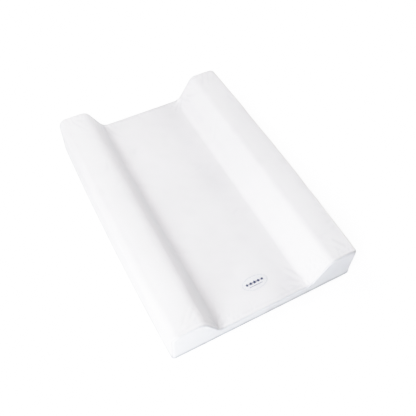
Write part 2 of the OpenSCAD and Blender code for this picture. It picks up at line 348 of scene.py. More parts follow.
def twisted_thread(name, tint, dark, roughness=0.5):
    """Twisted polyester thread: slanting plies and loose fibre haze."""
    shader = Shader(name)
    place = shader.object_place()
    slant = tuple(math.radians(angle) for angle in (30, 25, 45))
    ply = shader.wave(shader.mapping(place, Rotation=slant), scale=620.0, direction="X",
                      distortion=0.8)
    haze = shader.noise(place, scale=1500.0)
    relief = shader.math("ADD", ply, shader.math("MULTIPLY", haze, 0.5))
    shader.surface({
        "Base Color": shader.mix(shader.math("MULTIPLY_ADD", ply, 0.7, 0.5), dark, tint),
        "Roughness": shader.remap(haze, to=(roughness - 0.1, roughness + 0.15)),
        "Sheen Weight": 0.3,
        "Normal": shader.bump(relief, strength=0.6, distance=0.0001)})
    return shader.material


def open_cell_foam(name, tint, dark):
    """Cut polyurethane foam: open cells at two sizes and yellowed patches."""
    shader = Shader(name)
    place = shader.object_place()
    fine, coarse = shader.cells(place, scale=900.0), shader.cells(place, scale=330.0)
    cells = shader.math("ADD", fine, shader.math("MULTIPLY", coarse, 0.7))
    age = shader.noise(place, scale=9.0, detail=3.0, roughness=0.6)
    aged = shader.mix(shader.remap(age, source=(0.35, 0.65)), scaled(tint, 0.92), tint)
    bright = shader.remap(cells, to=(1.0, 0.0), source=(0.15, 0.75))
    shader.surface({
        "Base Color": shader.mix(bright, dark, aged),
        "Specular IOR Level": 0.15,
        "Roughness": shader.remap(age, to=(0.88, 0.98)),
        "Normal": shader.bump(cells, strength=0.9, distance=0.0007)})
    return shader.material


def moulded(name, tint):
    """Moulded nylon: slight flow marks, soft gloss and a touch of translucence."""
    shader = Shader(name)
    flow = shader.noise(shader.object_place(), scale=240.0, detail=3.0, roughness=0.55)
    shader.surface({
        "Base Color": shader.mix(shader.remap(flow, source=(0.3, 0.7)), scaled(tint, 0.93), tint),
        "Roughness": shader.remap(flow, to=(0.29, 0.46)),
        "Subsurface Weight": 0.06,
        "Subsurface Radius": (0.001, 0.001, 0.001),
        "Normal": shader.bump(flow, strength=0.2, distance=0.0001)})
    return shader.material


def plated(name, tint):
    """Nickel-plated die casting: brushed bands, orange peel and small scuffs."""
    shader = Shader(name)
    place = shader.object_place()
    stretched = shader.mapping(place, Scale=(1.0, 0.06, 1.0))
    brush = shader.noise(stretched, scale=2600.0, detail=3.0, roughness=0.6)
    peel = shader.noise(place, scale=420.0)
    scuff_and_contact_shade = shader.noise(place, scale=130.0, detail=5.0, roughness=0.7)
    worn = shader.remap(scuff_and_contact_shade, source=(0.58, 0.68))
    relief = shader.math("ADD", shader.math("MULTIPLY", brush, 0.4), peel)
    shader.surface({
        "Base Color": shader.mix(worn, tint, scaled(tint, 0.72)),
        "Metallic": 1.0,
        "Roughness": shader.math("ADD", shader.remap(brush, to=(0.18, 0.32)),
                                 shader.math("MULTIPLY", worn, 0.16)),
        "Normal": shader.bump(relief, strength=0.12, distance=0.00008)})
    return shader.material


VINYL_TOP = vinyl("vinyl_white", tint=(0.807, 0.798, 0.812))
# painted light: the end panels get a slightly brighter, bluer copy of the white vinyl, standing
# for the cool light that falls on them
VINYL_END = vinyl("vinyl_white_end", tint=(0.81, 0.815, 0.84), contact_shade_below=0.022)
VINYL_BASE = vinyl("vinyl_base", tint=(0.74, 0.74, 0.75), grain=1.8, roughness=0.55,
                   contact_shade_below=-0.03)
THREAD = twisted_thread("thread_white", tint=(0.84, 0.84, 0.86), dark=(0.62, 0.62, 0.66))
SATIN = satin("label_satin", tint=(0.86, 0.86, 0.87), dark=(0.70, 0.70, 0.73))
THREAD_GREY = twisted_thread("thread_grey", tint=(0.42, 0.43, 0.47), dark=(0.26, 0.27, 0.31))
THREAD_NAVY = twisted_thread("motif_navy", tint=(0.030, 0.045, 0.15),
                             dark=(0.010, 0.016, 0.065), roughness=0.55)
TAPE = zip_tape("zip_tape_weave", tint=(0.80, 0.80, 0.82), dark=(0.58, 0.58, 0.61))
NYLON = moulded("zip_nylon", tint=(0.78, 0.78, 0.80))
METAL = plated("nickel_plate", tint=(0.70, 0.69, 0.67))
FOAM = open_cell_foam("foam_cream", tint=(0.86, 0.78, 0.56), dark=(0.52, 0.44, 0.27))

# ---------------------------------------------------------------- the pad's cross-section
# The path runs from the left hem over the left bolster, the trough and the right bolster to the
# right hem. Steps: hem, base arc, wall, outer arc, top, inner arc, slope, trough arc.
HALF_STEPS = [2, 6, 34, 14, 18, 16, 22, 14]
PATH_STEPS = [*HALF_STEPS, 84, *HALF_STEPS[::-1]]
# landmark columns on the left half
(HEM_END, WALL_LOW, WALL_TOP, TOP_START, TOP_END, SLOPE_START, SLOPE_END,
 FLOOR_START) = np.cumsum(HALF_STEPS).tolist()
LAST = sum(PATH_STEPS)
COLUMNS = LAST + 1
MIDDLE = LAST // 2


def mirror(column):
    """The matching column on the other half."""
    return LAST - column


def column_weight(*stations):
    """A weight along the path, alike on both halves, from (left column, value) stations."""
    columns, values = zip(*stations)
    place = np.arange(COLUMNS)
    return np.interp(np.minimum(place, LAST - place), columns, values)


def section(half_width, inset):
    """Points and outward normals of the path, with the side walls at x = +-half_width.

    The points are moved inwards by inset, a number or one value per column.
    """
    left = [(-HALF_WIDTH + HEM, 0.0), (-half_width, 0.0), (-half_width, PAD_HEIGHT),
            (-HALF_WIDTH + BOLSTER_TOP, PAD_HEIGHT),
            (-HALF_WIDTH + BOLSTER_TOP + SLOPE_RUN, TROUGH_HEIGHT)]
    corners = np.array(left + [(-x, z) for x, z in reversed(left)])
    headings = [edge / np.linalg.norm(edge) for edge in np.diff(corners, axis=0)]
    points, normals = [], []

    def add_straight(start, stop, heading, steps, count):
        for k in range(count):
            points.append(start + (stop - start) * k / steps)
            normals.append(np.array([-heading[1], heading[0]]))

    start = corners[0]
    for i, radius in enumerate(CORNER_RADII + CORNER_RADII[::-1]):
        before, after = headings[i], headings[i + 1]
        # clockwise travel: a right turn is convex, with its centre on the right
        side = -1 if before[0] * after[1] - before[1] * after[0] < 0 else 1
        turn = math.acos(max(-1.0, min(1.0, float(before @ after))))
        cut = radius * math.tan(turn / 2)
        arc_start = corners[i + 1] - before * cut
        centre = arc_start + np.array([-before[1], before[0]]) * side * radius
        straight_steps, arc_steps = PATH_STEPS[2 * i:2 * i + 2]
        add_straight(start, arc_start, before, straight_steps, straight_steps)
        first = math.atan2(arc_start[1] - centre[1], arc_start[0] - centre[0])
        for k in range(arc_steps):
            angle = first + side * turn * k / arc_steps
            spoke = np.array([math.cos(angle), math.sin(angle)])
            points.append(centre + spoke * radius)
            normals.append(-side * spoke)
        start = corners[i + 1] + after * cut
    add_straight(start, corners[-1], headings[-1], PATH_STEPS[-1], PATH_STEPS[-1] + 1)
    points, normals = np.array(points), np.array(normals)
    return points - normals * np.asarray(inset).reshape(-1, 1), normals


def edge_radii(points):
    """Radius of the end edges: small along the top edges, larger down the side walls."""
    side = smoothstep((np.abs(points[:, 0]) - (HALF_WIDTH - 0.016)) / 0.014)
    near_top = smoothstep((points[:, 1] - 0.085) / 0.025)
    above_base = smoothstep((points[:, 1] - 0.008) / 0.018)
    return 0.0050 + 0.0065 * side * (1 - 0.45 * near_top) * (0.42 + 0.58 * above_base)


end_path, _ = section(HALF_WIDTH, 0.0)
ARC = run_length(end_path)                  # arc length of each column
EDGE_RADIUS = edge_radii(end_path)
BASE_RADIUS = EDGE_RADIUS[0]
SEAM_ANGLE = math.pi / 4                    # the seam lies halfway round the end edge
ARC_ROWS, EASE_ROWS = 6, 9                  # rows round the edge and easing away from it
EASE_END = 0.022
ROW_PITCH = 0.0033                          # nominal row spacing past the eased rows


def half_rows():
    """(inset, distance from the end, distance from the seam) of the rows, seam to middle."""
    rows = []
    for k in range(ARC_ROWS):
        angle = SEAM_ANGLE * (1 - k / ARC_ROWS)
        rows.append((EDGE_RADIUS * (1 - math.cos(angle)), EDGE_RADIUS * (1 - math.sin(angle)),
                     EDGE_RADIUS * (SEAM_ANGLE - angle)))
    rest = HALF_LENGTH - EASE_END
    count = int(round(rest / ROW_PITCH))
    flat = [EDGE_RADIUS + (EASE_END - EDGE_RADIUS) * (k / EASE_ROWS) ** 1.25
            for k in range(EASE_ROWS)]
    flat += [np.full(COLUMNS, EASE_END + rest * k / count) for k in range(count + 1)]
    return rows + [(0.0, away, EDGE_RADIUS * SEAM_ANGLE + away - EDGE_RADIUS) for away in flat]


def sheet_rest():
    """The top sheet's outer face at rest, foot to head, and each point's distance to a seam."""
    half = half_rows()
    rows = [(-1, *row) for row in half] + [(1, *row) for row in reversed(half[:-1])]
    points = np.zeros((COLUMNS, len(rows), 3))
    seam = np.zeros((COLUMNS, len(rows)))
    for j, (end, inset, away, seam[:, j]) in enumerate(rows):
        y = end * (HALF_LENGTH - away)
        half_width = HALF_WIDTH + SIDE_BOW * (1 - (np.mean(y) / HALF_LENGTH) ** 2)
        path, _ = section(half_width, inset)
        points[:, j] = np.stack([path[:, 0], y, path[:, 1]], 1)
    return points, seam


REST, SEAM_DISTANCE = sheet_rest()
REST_NORMALS = grid_normals(REST)
ROWS = REST.shape[1]
ACROSS = np.repeat(ARC[:, None], ROWS, 1)   # place on the unrolled sheet
ALONG = REST[:, :, 1]


# ---------------------------------------------------------------- inflated cloth
def inflate(name, verts, faces, pin, frames):
    """Inflate an open sheet without gravity, pinned by weight; returns its settled points."""
    obj = new_object(name, verts, faces)
    group = obj.vertex_groups.new(name="pin")
    levels = np.round(np.clip(pin, 0, 1) * 20).astype(int)
    for level in np.unique(levels):
        if level > 0:
            group.add(np.nonzero(levels == level)[0].tolist(), level / 20.0, "REPLACE")
    modifier = obj.modifiers.new("cloth", "CLOTH")
    cloth = modifier.settings
    cloth.quality = 6
    cloth.mass = 0.25
    cloth.vertex_group_mass = "pin"
    cloth.pin_stiffness = 1.0
    cloth.tension_stiffness = 40.0
    cloth.compression_stiffness = 40.0
    cloth.shear_stiffness = 8.0
    cloth.bending_stiffness = 12.0
    cloth.use_pressure = True
    cloth.uniform_pressure_force = 4.0
    cloth.shrink_min = 0.0
    cloth.effector_weights.gravity = 0.0
    modifier.collision_settings.use_collision = False
    modifier.collision_settings.use_self_collision = False
    scene = bpy.context.scene
    modifier.point_cache.frame_start, modifier.point_cache.frame_end = 1, frames
    scene.frame_start, scene.frame_end = 1, frames
    for moment in range(1, frames + 1):
        scene.frame_set(moment)
    evaluated = obj.evaluated_get(bpy.context.evaluated_depsgraph_get())
    mesh = evaluated.to_mesh()
    points = np.empty(len(mesh.vertices) * 3)
    mesh.vertices.foreach_get("co", points)
    evaluated.to_mesh_clear()
    data = obj.data
    bpy.data.objects.remove(obj)
    bpy.data.meshes.remove(data)
    scene.frame_set(1)
    return points.reshape(-1, 3)


def soft_limit(swell, outward, inward):
    """Ease the swelling towards a limit each way."""
    return np.where(swell > 0, outward * np.tanh(swell / outward),
                    inward * np.tanh(swell / inward))


def inflated_cover():
    """Normal displacement of the inflated top sheet, solved on every third point."""
    columns = np.arange(0, COLUMNS, 3)
    rows = np.unique(np.r_[0, np.arange(3, ROWS - 3, 3), ROWS - 1])
    points = REST[np.ix_(columns, rows)]
    normals = REST_NORMALS[np.ix_(columns, rows)]
    hold = column_weight(
        (0, 1), (HEM_END, 1), (WALL_LOW, 0.5), (WALL_LOW + 5, 0.08), (WALL_TOP - 4, 0.05),
        (TOP_START, 0.05), (TOP_END, 0.05), (SLOPE_START, 0.08), (SLOPE_END - 6, 0.25),
        (SLOPE_END + 7, 0.7), (FLOOR_START + 6, 0.5), (MIDDLE, 0.35))
    pin = np.repeat(hold[columns][:, None], len(rows), 1)
    pin[:, 0] = pin[:, -1] = 1.0
    pin[:, 1] = pin[:, -2] = np.maximum(pin[:, 1], 0.9)
    # slightly smaller start, because the cover swells
    start = points - normals * 0.0012 * (1 - pin[:, :, None])
    settled = inflate("cover_sim", start.reshape(-1, 3), grid_faces(len(columns), len(rows)),
                      pin.ravel(), frames=20).reshape(points.shape)
    swell = np.nan_to_num(((settled - points) * normals).sum(axis=2))
    swell = soft_limit(swell, outward=0.0050, inward=0.0009)
    # back onto the fine grid
    filled = np.stack([np.interp(np.arange(COLUMNS), columns, row) for row in swell.T], 1)
    fine = np.stack([np.interp(np.arange(ROWS), rows, column) for column in filled])
    return box_blur(box_blur(fine, 3, 3), 3, 3)


# ---------------------------------------------------------------- wrinkles
# Where puckers crowd along the end seams: column, half width in metres, gain
PUCKER_ZONES = [
    (SLOPE_END, 0.030, 1.7), (mirror(SLOPE_END), 0.030, 2.2),
    (SLOPE_START - 4, 0.014, 1.0), (mirror(SLOPE_START - 4), 0.014, 1.0),
    (TOP_START, 0.016, 0.8), (mirror(TOP_START), 0.016, 0.8)]


def pucker_set(seed, count=64):
    """Seeded puckers along an end seam: (arc position, height, width, length, slant, phase)."""
    rng = np.random.default_rng(seed)
    places = np.linspace(ARC[WALL_LOW], ARC[mirror(WALL_LOW)], 600)
    density = np.full(600, 0.35)
    for column, half_width, gain in PUCKER_ZONES:
        density += gain * bell(places - ARC[column], half_width)
    share = np.cumsum(density) / density.sum()
    puckers = []
    for _ in range(count):
        place = float(np.interp(rng.uniform(), share, places))
        crowd = float(np.interp(place, places, density))
        height = rng.uniform(0.12, 0.34) * min(1.0, 0.45 + 0.4 * crowd)
        puckers.append((
            place, height * 0.001 * rng.choice([1, 1, -1]), rng.uniform(0.0034, 0.0075),
            rng.uniform(0.009, 0.026) * (1 + 0.5 * min(crowd, 1.5)),
            rng.uniform(-0.55, 0.55), rng.uniform(-0.6, 0.6)))
    return puckers


PUCKERS = {-1: pucker_set(41), 1: pucker_set(58)}


def pucker_field(across, seam, end, reach=1.0):
    """Height of the puckers at an arc position and a distance from the seam."""
    total = np.zeros(np.broadcast(across, seam).shape)
    rise = 1 - bell(seam, 0.0035)
    for place, height, width, length, slant, phase in PUCKERS[end]:
        offset = across - place - slant * seam
        near = np.abs(offset) < 4 * width
        ripple = bell(offset, 1.25 * width) * np.cos(2 * math.pi * offset / (3.2 * width) + phase)
        fall = np.exp(-(seam / (length * reach)) ** 1.6)
        total += np.where(near, height * 1.35 * ripple * rise * fall, 0)
    return total


def seam_profile(seam):
    """Shallow groove at the stitched line with the turned allowance's soft ridge beside it."""
    return (-0.0007 * bell(seam, 0.0013) + 0.00040 * bell(seam - 0.0046, 0.0026)
            - 0.00014 * bell(seam - 0.0115, 0.0035))


def crease_line(across, along, start, stretch, width, height):
    """A soft, slightly bent crease that runs from start by stretch, both (across, along)."""
    length = math.hypot(*stretch)
    across, along = across - start[0], along - start[1]
    share = (across * stretch[0] + along * stretch[1]) / length ** 2
    offset = (across * stretch[1] - along * stretch[0]) / length
    offset = offset + 0.10 * length * (share - 0.5) ** 2
    fade = smoothstep(share / 0.25) * smoothstep((1 - share) / 0.6)
    hollow = bell(offset - 1.7 * width, 1.2 * width)
    return height * fade * (bell(offset, width) - 0.45 * hollow)


# ---------------------------------------------------------------- top sheet
def filling_swell():
    swell = inflated_cover()
    keep = column_weight(
        (0, 0), (WALL_LOW, 0.6), (WALL_LOW + 8, 1), (SLOPE_START, 1), (SLOPE_END - 8, 0.6),
        (SLOPE_END + 6, 0.2), (MIDDLE, 0.12))
    return (swell - 0.5 * box_blur(swell, 14, 16)) * 0.9 * keep[:, None]


# Columns where drag lines start, the way they lean in x, and how many there are
DRAG_STARTS = [
    (TOP_START + 3, 1, 2), (mirror(TOP_START + 3), -1, 2), (SLOPE_END + 4, 1, 3),
    (mirror(SLOPE_END + 4), -1, 4), (SLOPE_END - 2, -1, 2), (mirror(SLOPE_END - 2), 1, 3)]


def drag_lines(end):
    """Lines from the corners of the bolsters and of the trough at one end."""
    total = np.zeros_like(ACROSS)
    rng = np.random.default_rng(90 + end)
    for column, lean, count in DRAG_STARTS:
        for _ in range(count):
            angle = rng.uniform(0.25, 1.1)
            length = rng.uniform(0.035, 0.085)
            start = (ARC[column] + rng.uniform(-0.008, 0.008), end * HALF_LENGTH - end * 0.007)
            stretch = (lean * math.sin(angle) * length, -end * math.cos(angle) * length)
            total += crease_line(ACROSS, ALONG, start, stretch, width=rng.uniform(0.0038, 0.0065),
                                 height=rng.uniform(0.00035, 0.00072))
    return total


def handling_creases():
    """A few faint creases scattered over the sheet."""
    total = np.zeros_like(ACROSS)
    rng = np.random.default_rng(7)
    for _ in range(16):
        column = rng.integers(WALL_TOP, mirror(WALL_TOP))
        y = rng.uniform(-0.30, 0.30)
        angle = rng.uniform(0, 2 * math.pi)
        length = rng.uniform(0.04, 0.12)
        total += crease_line(ACROSS, ALONG, (ARC[column], y),
                             (math.cos(angle) * length, math.sin(angle) * length),
                             width=rng.uniform(0.004, 0.008),
                             height=rng.uniform(0.00012, 0.00026))
    return total


def top_relief():
    """How far the top sheet's outer face stands out from rest."""
    relief = filling_swell()
    # the filling's slow unevenness
    calm = smoothstep(SEAM_DISTANCE / 0.012)
    free = column_weight((0, 0), (WALL_LOW, 0.3), (WALL_LOW + 8, 1))[:, None]
    relief += 0.00042 * waves(ACROSS, ALONG, 0.115, seed=5) * calm * free
    relief += 0.00022 * waves(ACROSS, ALONG, 0.052, seed=6) * calm * free
    # cover bridging the foot of each slope: shallow ripples across the bend
    for column, seed in ((SLOPE_END + 7, 11), (mirror(SLOPE_END + 7), 12)):
        ripple = waves(ACROSS * 0.35, ALONG, 0.046, seed)
        ripple *= 0.5 + 0.5 * waves(ACROSS * 0, ALONG, 0.21, seed + 4)
        relief += 0.00034 * bell(ACROSS - ARC[column], 0.030) * ripple * calm
    for end in (-1, 1):
        relief += drag_lines(end)
        relief += np.where(ALONG * end > 0, pucker_field(ACROSS, SEAM_DISTANCE, end), 0)
    relief += handling_creases() + seam_profile(SEAM_DISTANCE)
    # the hem is held flat on the table
    hold = column_weight((0, 0), (HEM_END, 0), (WALL_LOW, 0.3), (WALL_LOW + 6, 1))
    return relief * hold[:, None]


def closed_sheet(name, outer, thickness, material):
    """A thin shell: the full grid outside, every second point inside, joined round the rim."""
    columns, rows, _ = outer.shape
    inner = (outer - grid_normals(outer) * thickness)[::2, ::2]
    inner_columns, inner_rows = inner.shape[:2]
    inner_start = columns * rows
    faces = grid_faces(columns, rows)
    faces += [face[::-1] for face in grid_faces(inner_columns, inner_rows, inner_start)]

    def outside(i, j):
        return i * rows + j

    def inside(i, j):
        return inner_start + (i // 2) * inner_rows + j // 2

    rim = [(i, 0) for i in range(columns - 1)]
    rim += [(columns - 1, j) for j in range(rows - 1)]
    rim += [(i, rows - 1) for i in range(columns - 1, 0, -1)]
    rim += [(0, j) for j in range(rows - 1, 0, -1)]
    for k in range(0, len(rim), 2):
        first, between, last = rim[k], rim[k + 1], rim[(k + 2) % len(rim)]
        faces += [(outside(*between), outside(*first), inside(*first)),
                  (outside(*between), inside(*first), inside(*last)),
                  (outside(*last), outside(*between), inside(*last))]
    verts = np.concatenate([outer.reshape(-1, 3), inner.reshape(-1, 3)])
    return new_object(name, verts, faces, material)


def top_sheet():
    """Build the top sheet and return its outer face."""
    relief = top_relief()
    outer = REST + REST_NORMALS * relief[:, :, None]
    outer[:, :, 2] = np.maximum(outer[:, :, 2], 0.0)
    obj = closed_sheet("cover_top_sheet", outer, SHEET, VINYL_TOP)
    # painted shade: the colour darkens in the relief's hollows and along the seam line
    hollow_shade = np.clip(-(relief - box_blur(relief, 2, 2)) / 0.00012, 0, 1)
    crease = np.clip(0.6 * bell(SEAM_DISTANCE, 0.0010) + hollow_shade * 0.25, 0, 1)
    set_crease_shade(obj, np.r_[crease.ravel(), np.zeros(len(obj.data.vertices) - crease.size)])
    register(obj, "cover_top")
    return outer


TOP = top_sheet()
TOP_TREE = BVHTree.FromPolygons([tuple(v) for v in TOP.reshape(-1, 3)], grid_faces(COLUMNS, ROWS))


def top_height(x, y):
    """Height of the top sheet; the trough's own height where a ray slips between faces."""
    place = TOP_TREE.ray_cast(Vector((x, y, 0.3)), Vector((0, 0, -1)))[0]
    return place.z if place is not None else TROUGH_HEIGHT


# ---------------------------------------------------------------- end panels
END_RINGS = 7                               # steps round the edge from the seam to the face
BASE_STEPS = 90                             # steps along the panel's bottom edge
FACE_ROWS = WALL_TOP - WALL_LOW
CORNER_ZONE = 0.026                         # width where the face's columns spread out


def end_rings(end):
    """Closed loops from the seam round the edge, and each point's distance from the seam."""
    rings, seam = [], []
    radii = np.r_[EDGE_RADIUS, np.full(BASE_STEPS - 1, BASE_RADIUS)]
    for k in range(END_RINGS + 1):
        angle = SEAM_ANGLE + SEAM_ANGLE * k / END_RINGS
        path, _ = section(HALF_WIDTH, EDGE_RADIUS * (1 - math.cos(angle)))
        base_x = np.linspace(path[-1, 0], path[0, 0], BASE_STEPS + 1)[1:-1]
        base_z = np.full(len(base_x), BASE_RADIUS * (1 - math.cos(angle)))
        y = end * (HALF_LENGTH - radii * (1 - math.sin(angle)))
        rings.append(np.stack([np.r_[path[:, 0], base_x], y, np.r_[path[:, 1], base_z]], 1))
        seam.append(radii * (angle - SEAM_ANGLE))
    return np.array(rings), np.array(seam)


def bridge(verts, lower, upper):
    """Triangles between two chains of vertex indices that both run towards +x."""
    faces = []
    i, j = 0, 0
    while i < len(lower) - 1 or j < len(upper) - 1:
        if j == len(upper) - 1 or (i < len(lower) - 1 and (
                j == len(upper) - 2 or verts[lower[i + 1], 0] <= verts[upper[j + 1], 0])):
            if upper[j] not in (lower[i], lower[i + 1]):
                faces.append((lower[i], lower[i + 1], upper[j]))
            i += 1
        else:
            if lower[i] not in (upper[j], upper[j + 1]):
                faces.append((lower[i], upper[j + 1], upper[j]))
            j += 1
    return faces


def end_mesh(end):
    """Points, faces, and per point: distance from the seam, arc position, distance from the
    face's nearest edge (zero on the rings) and freedom from the upright edges."""
    rings, ring_seam = end_rings(end)
    ring_count, loop = rings.shape[:2]
    inner = rings[-1]
    columns = np.arange(WALL_TOP, mirror(WALL_TOP) + 1)
    rows = np.arange(FACE_ROWS + 1)
    left_wall, right_wall = WALL_LOW + rows, mirror(WALL_LOW) - rows
    top_x, top_z = inner[columns, 0], inner[columns, 2]
    left_x, right_x = inner[left_wall, 0], inner[right_wall, 0]

    # the upright edges are rounder low down, so the columns below the bolster's corner
    # spread out from the edge
    run = run_length(inner[columns][:, [0, 2]])
    first = int(np.argmax(top_x > top_x[0] + CORNER_ZONE))
    last = len(columns) - 1 - int(np.argmax(top_x[::-1] < top_x[-1] - CORNER_ZONE))
    straight_x = np.repeat(top_x[:, None], len(rows), 1)
    spread_x = straight_x.copy()
    spread_x[:first] = left_x + (top_x[first] - left_x) * run[:first, None] / run[first]
    spread_x[last + 1:] = right_x + ((top_x[last] - right_x) * (run[-1] - run[last + 1:, None])
                                     / (run[-1] - run[last]))
    low = np.concatenate([inner[:WALL_LOW + 1][::-1], inner[COLUMNS:][::-1],
                          inner[mirror(WALL_LOW):COLUMNS][::-1]])
    low = low[np.argsort(low[:, 0], kind="stable")]
    foot_z = np.interp(spread_x[:, 0], low[:, 0], low[:, 2])[:, None]

    # the flat face, columns by rows
    rise = rows / FACE_ROWS
    x = straight_x + (1 - rise ** 16) * (spread_x - straight_x)
    z = foot_z * (1 - rise) + top_z[:, None] * rise
    from_left, from_right = np.maximum(x - left_x, 0.0), np.maximum(right_x - x, 0.0)
    side = np.minimum(from_left, from_right)
    down = top_z[:, None] - z
    seam_length = EDGE_RADIUS * SEAM_ANGLE
    face_seam = np.minimum.reduce([seam_length[columns][:, None] + down,
                                   seam_length[left_wall] + from_left,
                                   seam_length[right_wall] + from_right])
    face_edge = np.minimum.reduce([down, side, z - foot_z])
    face_points = np.stack([x, np.full_like(x, inner[0, 1]), z], 2)

    # how far each ring column ends from the panel's upright edges
    away = np.zeros(loop)
    away[columns] = np.minimum(top_x - top_x[0], top_x[-1] - top_x)
    away = smoothstep(away / 0.014)
    ring_free = 1 - (np.arange(ring_count) / (ring_count - 1))[:, None] * (1 - away)[None, :]
    ring_arc = np.tile(np.r_[ARC, np.full(loop - COLUMNS, -1.0)], ring_count)
    face_arc = np.repeat(ARC[columns][:, None], len(rows), 1)

    def joined(ring_values, face_values):
        inside = face_values[1:-1, 1:-1]
        return np.concatenate([ring_values, inside.reshape(-1, *inside.shape[2:])])

    verts = joined(rings.reshape(-1, 3), face_points)
    ring_total = ring_count * loop
    seam = joined(ring_seam.ravel(), face_seam)
    arc = joined(ring_arc, face_arc)
    edge = joined(np.zeros(ring_total), face_edge)
    free = joined(ring_free.ravel(), smoothstep(side / 0.014))

    faces = []
    for k in range(ring_count - 1):
        for i in range(loop):
            here, beside = k * loop + i, k * loop + (i + 1) % loop
            faces.append((here, beside, beside + loop, here + loop))
    start = ring_total - loop
    index = -np.ones((len(columns), FACE_ROWS + 1), int)
    index[:, FACE_ROWS] = start + columns
    index[0] = start + left_wall
    index[-1] = start + right_wall
    index[1:-1, 1:-1] = np.arange(ring_total, len(verts)).reshape(-1, FACE_ROWS - 1)
    index = index.tolist()
    for left, right in zip(index[:-1], index[1:]):
        for k in range(1, FACE_ROWS):
            faces.append((left[k], right[k], right[k + 1], left[k + 1]))
    lower = [start + i for i in (*range(WALL_LOW, -1, -1), *range(loop - 1, COLUMNS - 1, -1),
                                 *range(COLUMNS - 1, mirror(WALL_LOW) - 1, -1))]
    upper = [index[0][0]] + [column[1] for column in index] + [index[-1][0]]
    return verts, faces + bridge(verts, lower, upper), seam, arc, edge, free


def face_swell(name, obj, edge):
    """How far the filling pushes the face out."""
    points, normals = mesh_arrays(obj)
    faces = [tuple(polygon.vertices) for polygon in obj.data.polygons]
    settled = inflate(name + "_sim", points, faces, np.where(edge > 0, 0.04, 1.0), frames=16)
    swell = np.nan_to_num(((settled - points) * normals).sum(axis=1))
    return soft_limit(swell, outward=0.0055, inward=0.0006) * 0.75 * smoothstep(edge / 0.010)


def end_panel(end, node):
    name = node + "_sheet"
    verts, faces, seam, arc, edge, free = end_mesh(end)
    obj = new_object(name, verts, faces, VINYL_END)

    def face_outwards(work):
        recalculate_normals(work)
        if sum(face.normal.y * face.calc_area() for face in work.faces) * end < 0:
            bmesh.ops.reverse_faces(work, faces=work.faces)

    edit_mesh(obj, face_outwards)
    points, normals = mesh_arrays(obj)
    x, z = points[:, 0], points[:, 2]
    relief = face_swell(name, obj, edge)
    calm = smoothstep(edge / 0.006)
    relief += 0.00045 * waves(x, z, 0.085, seed=21 + end) * calm
    relief += 0.00016 * waves(x, z * 1.4, 0.034, seed=25 + end) * calm
    relief += seam_profile(seam)
    puckers = pucker_field(np.maximum(arc, 0), seam, end, reach=0.75)
    relief += np.where(arc > 0, 0.85 * free * puckers, 0)
    # drag lines from the seam's corners into the face
    rng = np.random.default_rng(300 + end)
    slope_ends = (SLOPE_END, mirror(SLOPE_END))
    for column in (*slope_ends, TOP_END, mirror(TOP_END), WALL_TOP, mirror(WALL_TOP),
                   *slope_ends, MIDDLE):
        start = (REST[column, 0, 0] + rng.uniform(-0.01, 0.01), REST[column, 0, 2] - 0.004)
        angle = rng.uniform(-2.4, -0.7)
        length = rng.uniform(0.03, 0.07)
        relief += calm * crease_line(
            x, z, start, (math.cos(angle) * length, math.sin(angle) * length),
            width=rng.uniform(0.0035, 0.006), height=rng.uniform(0.0002, 0.0004))
    points = points + normals * relief[:, None]
    points[:, 2] = np.maximum(points[:, 2], 0.0)
    set_points(obj, points)
    # painted shade along the seam line
    set_crease_shade(obj, 0.6 * bell(seam, 0.0010))
    thicken(obj, SHEET)
    register(obj, node)


end_panel(-1, "end_panel_foot")
end_panel(1, "end_panel_head")

# ---------------------------------------------------------------- stitches
# One stitch end to end: place along its half length, share of its radius
STITCH_PROFILE = [(-1.0, 0.0), (-0.93, 0.62), (-0.62, 0.95), (0.0, 1.0), (0.62, 0.95),
                  (0.93, 0.62), (1.0, 0.0)]
STITCH_SIDES = 8
STITCH_DIP = 0.35                           # how far the ends sink, in thread diameters
UP, DOWN, LENGTHWISE = (0, 0, 1.0), (0, 0, -1.0), (0, 1.0, 0)


def stitches(name, node, centres, directions, ups, length, radius, material=THREAD):
    """Short thread runs: slim capsules whose ends dive back into the fabric."""
    centres = np.asarray(centres, float)
    directions = np.broadcast_to(np.asarray(directions, float), centres.shape)
    directions = directions / np.linalg.norm(directions, axis=1, keepdims=True)
    sideways = np.cross(directions, np.broadcast_to(ups, centres.shape))
    sideways = sideways / np.maximum(np.linalg.norm(sideways, axis=1, keepdims=True), 1e-9)
    up = np.cross(sideways, directions)
    length = np.broadcast_to(length, len(centres))
    angles = (np.arange(STITCH_SIDES) * 2 * math.pi / STITCH_SIDES)[None, :, None]
    around = sideways[:, None] * np.cos(angles) + up[:, None] * np.sin(angles)
    rings = []
    for place, share in STITCH_PROFILE:
        middle = centres + directions * (place * length[:, None] / 2)
        middle = (middle - up * (radius * 2 * STITCH_DIP * place * place))[:, None]
        rings.append(middle + around * radius * share if share else middle)
    points = np.concatenate(rings, axis=1)

    per_stitch = points.shape[1]
    last_ring = per_stitch - 1 - STITCH_SIDES
    beside = [(k, (k + 1) % STITCH_SIDES) for k in range(STITCH_SIDES)]
    one = [(0, 1 + after, 1 + k) for k, after in beside]
    for ring in range(1, last_ring, STITCH_SIDES):
        one += [(ring + k, ring + after, ring + after + STITCH_SIDES, ring + k + STITCH_SIDES)
                for k, after in beside]
    one += [(per_stitch - 1, last_ring + k, last_ring + after) for k, after in beside]
    faces = [tuple(corner + i * per_stitch for corner in face)
             for i in range(len(centres)) for face in one]
    obj = new_object(name, points.reshape(-1, 3), faces, material)
    register(obj, node)


